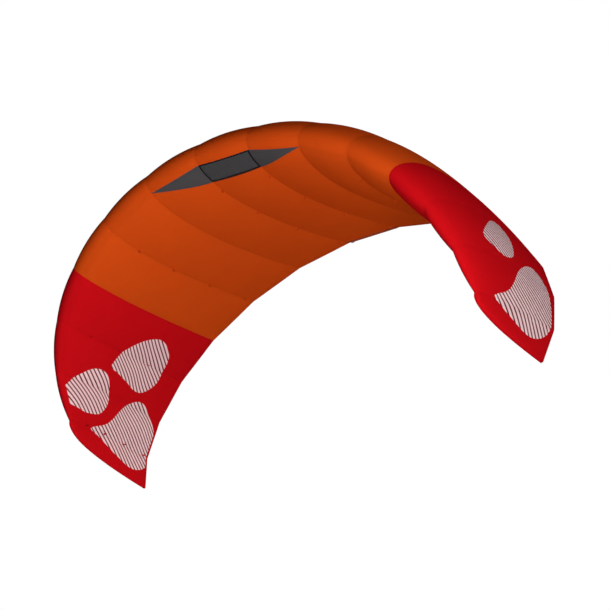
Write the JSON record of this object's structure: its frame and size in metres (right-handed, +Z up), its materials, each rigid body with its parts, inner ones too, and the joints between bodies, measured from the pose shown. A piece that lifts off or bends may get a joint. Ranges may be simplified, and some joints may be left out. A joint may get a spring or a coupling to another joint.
{
  "type": "kitesurf foil kite",
  "caption": "Closed-cell foil kite in its inflated arched shape, with sewn skins over shaped ribs, a gauze air inlet with a one-way flap, bridle tabs and a deflation zip.",
  "frame": {"origin": "the point half way between the eyes of the two front bridle tabs nearest mid-span, which is where the front bridle lines carry the kite", "axes": "+X along the span to the right wing, +Y from the leading edge to the trailing edge, +Z up through the inflated arch"},
  "size_m": [2.3628, 1.1022, 1.1756],
  "materials": {
    "orange_cloth": "orange ripstop canopy cloth with a soft sheen",
    "red_cloth": "red ripstop canopy cloth with a soft sheen",
    "gauze": "open dark grey mesh",
    "grey_cloth": "dark grey ripstop cloth",
    "black_tape": "black woven binding tape",
    "hem_tape": "woven hem tape in the colour of the cloth beside it",
    "zip_coil": "woven zip tape with a moulded nylon coil",
    "zip_metal": "coated die-cast zip slider",
    "zip_tab": "moulded pull tab"
  },
  "bodies": {
    "canopy": {"upper_panel_left_7": "red_cloth", "lower_panel_left_7": "red_cloth", "upper_panel_left_6": "red_cloth", "lower_panel_left_6": "red_cloth", "upper_panel_left_5": "red_cloth", "lower_panel_left_5": "red_cloth", "upper_panel_left_4": "red_cloth", "lower_panel_left_4": "red_cloth", "upper_panel_left_3": "orange_cloth", "lower_panel_left_3": "orange_cloth", "upper_panel_left_2": "orange_cloth", "lower_panel_left_2": "orange_cloth", "upper_panel_left_1": "orange_cloth", "lower_panel_left_1": "orange_cloth", "upper_panel_centre": "orange_cloth", "lower_panel_centre": "orange_cloth", "upper_panel_right_1": "orange_cloth", "lower_panel_right_1": "orange_cloth", "upper_panel_right_2": "orange_cloth", "lower_panel_right_2": "orange_cloth", "upper_panel_right_3": "orange_cloth", "lower_panel_right_3": "orange_cloth", "upper_panel_right_4": "red_cloth", "lower_panel_right_4": "red_cloth", "upper_panel_right_5": "red_cloth", "lower_panel_right_5": "red_cloth", "upper_panel_right_6": "red_cloth", "lower_panel_right_6": "red_cloth", "upper_panel_right_7": "red_cloth", "lower_panel_right_7": "red_cloth", "rib_left_1": "orange_cloth", "rib_left_2": "orange_cloth", "rib_left_3": "orange_cloth", "rib_left_4": "orange_cloth", "rib_left_5": "red_cloth", "rib_left_6": "red_cloth", "rib_left_7": "red_cloth", "rib_right_1": "orange_cloth", "rib_right_2": "orange_cloth", "rib_right_3": "orange_cloth", "rib_right_4": "orange_cloth", "rib_right_5": "red_cloth", "rib_right_6": "red_cloth", "rib_right_7": "red_cloth", "inlet_binding": "black_tape", "inlet_gauze": "gauze", "inlet_side_left": "grey_cloth", "inlet_side_right": "grey_cloth", "trailing_edge_hem_left": "hem_tape", "trailing_edge_hem_right": "hem_tape", "tip_tape_left": "hem_tape", "tip_tape_right": "hem_tape", "zip_tape": "zip_coil"},
    "inlet_flap": {"inlet_flap": "grey_cloth"},
    "zip_slider": {"zip_slider": "zip_metal"},
    "zip_pull": {"zip_pull": "zip_tab"}
  },
  "joints": [
    {"name": "inlet_flap_hinge", "type": "hinge", "parent": "canopy", "child": "inlet_flap", "pos_m": [0, -0.07225, 0.02881], "axis": [-1, 0, 0], "range_deg": [0, 70]},
    {"name": "zip_slide", "type": "slide", "parent": "canopy", "child": "zip_slider", "axis": [1, 0, 0], "range_m": [0, 0.2478]},
    {"name": "zip_pull_hinge", "type": "hinge", "parent": "zip_slider", "child": "zip_pull", "pos_m": [-0.12392, 0.90321, 0.0681], "axis": [-1, 0, 0], "range_deg": [0, 156]}
  ]
}
